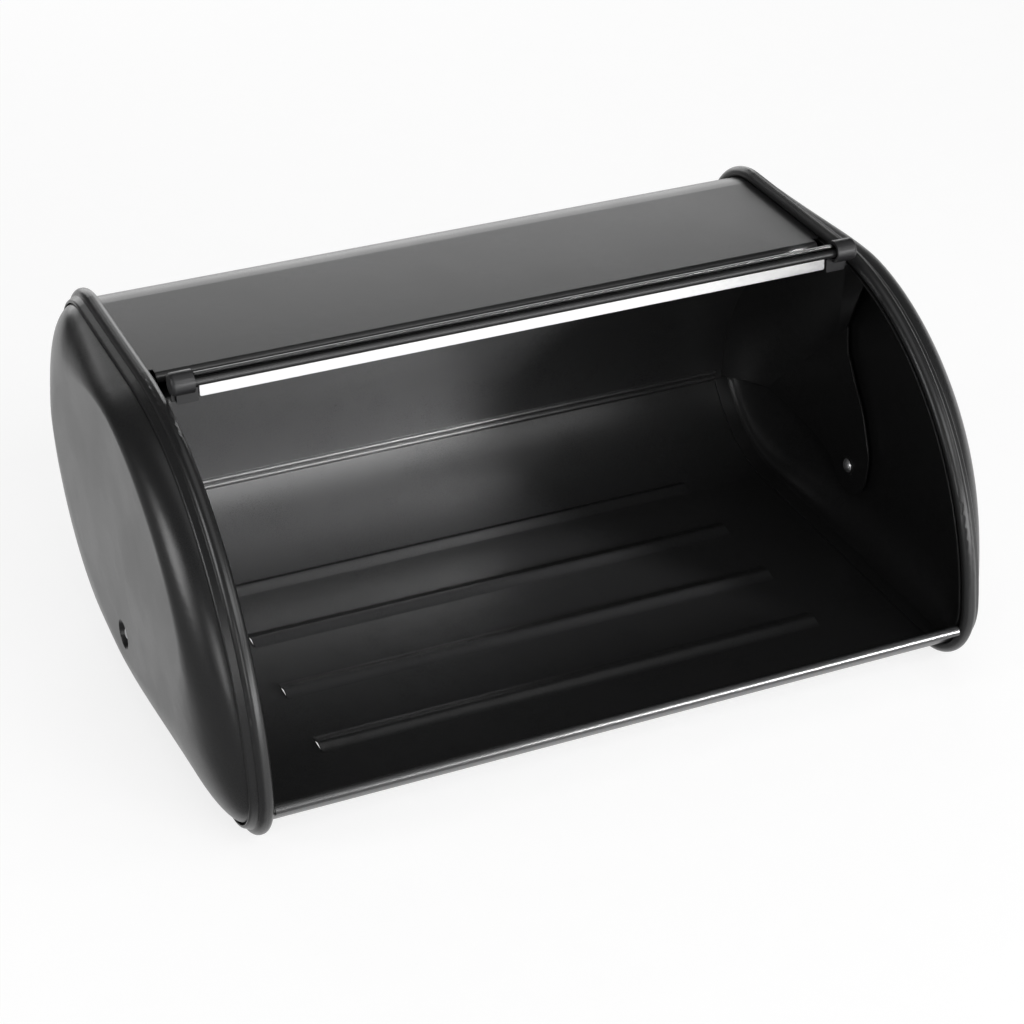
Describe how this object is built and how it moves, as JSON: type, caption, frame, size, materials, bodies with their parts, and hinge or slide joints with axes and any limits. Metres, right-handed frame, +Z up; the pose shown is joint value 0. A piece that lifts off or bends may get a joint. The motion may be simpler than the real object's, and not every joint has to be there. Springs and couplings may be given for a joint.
{
  "type": "roll-top bread bin",
  "caption": "Painted steel bread bin with dished end caps, ringed edges and a curved lid that rolls back inside on side pivots, with a bright strip along the lid edge.",
  "frame": {"origin": "on the floor under the middle of the bin, midway between the end rings and between the front and back of the rings", "axes": "+X to the bin's right seen from the front (along the lid pivots), +Y to the back, +Z up"},
  "size_m": [0.38, 0.2635, 0.1741],
  "materials": {
    "black_paint": "satin black powder coat with a fine texture",
    "bright_strip": "bright, brushed along the strip",
    "black_plastic": "moulded, slightly soft sheen",
    "bright_rivet": "plated, lightly scuffed",
    "dark_washer": "smooth"
  },
  "bodies": {
    "body": {"body_wrap": "black_paint", "end_cap_left": "black_paint", "end_cap_right": "black_paint", "end_ring_left": "black_paint", "end_ring_right": "black_paint", "pivot_rivet_left": "bright_rivet", "pivot_rivet_right": "bright_rivet"},
    "lid": {"lid_panel": "black_paint", "lid_ear_left": "black_paint", "lid_ear_right": "black_paint", "lid_edge_rod": "black_paint", "handle_strip": "bright_strip", "handle_clip_left": "black_plastic", "handle_clip_right": "black_plastic", "pivot_washer_left": "dark_washer", "pivot_washer_right": "dark_washer"}
  },
  "joints": [
    {"name": "lid_pivot", "type": "hinge", "parent": "body", "child": "lid", "pos_m": [0, 0.007, 0.037], "axis": [1, 0, 0], "range_deg": [0, 83.5]}
  ]
}
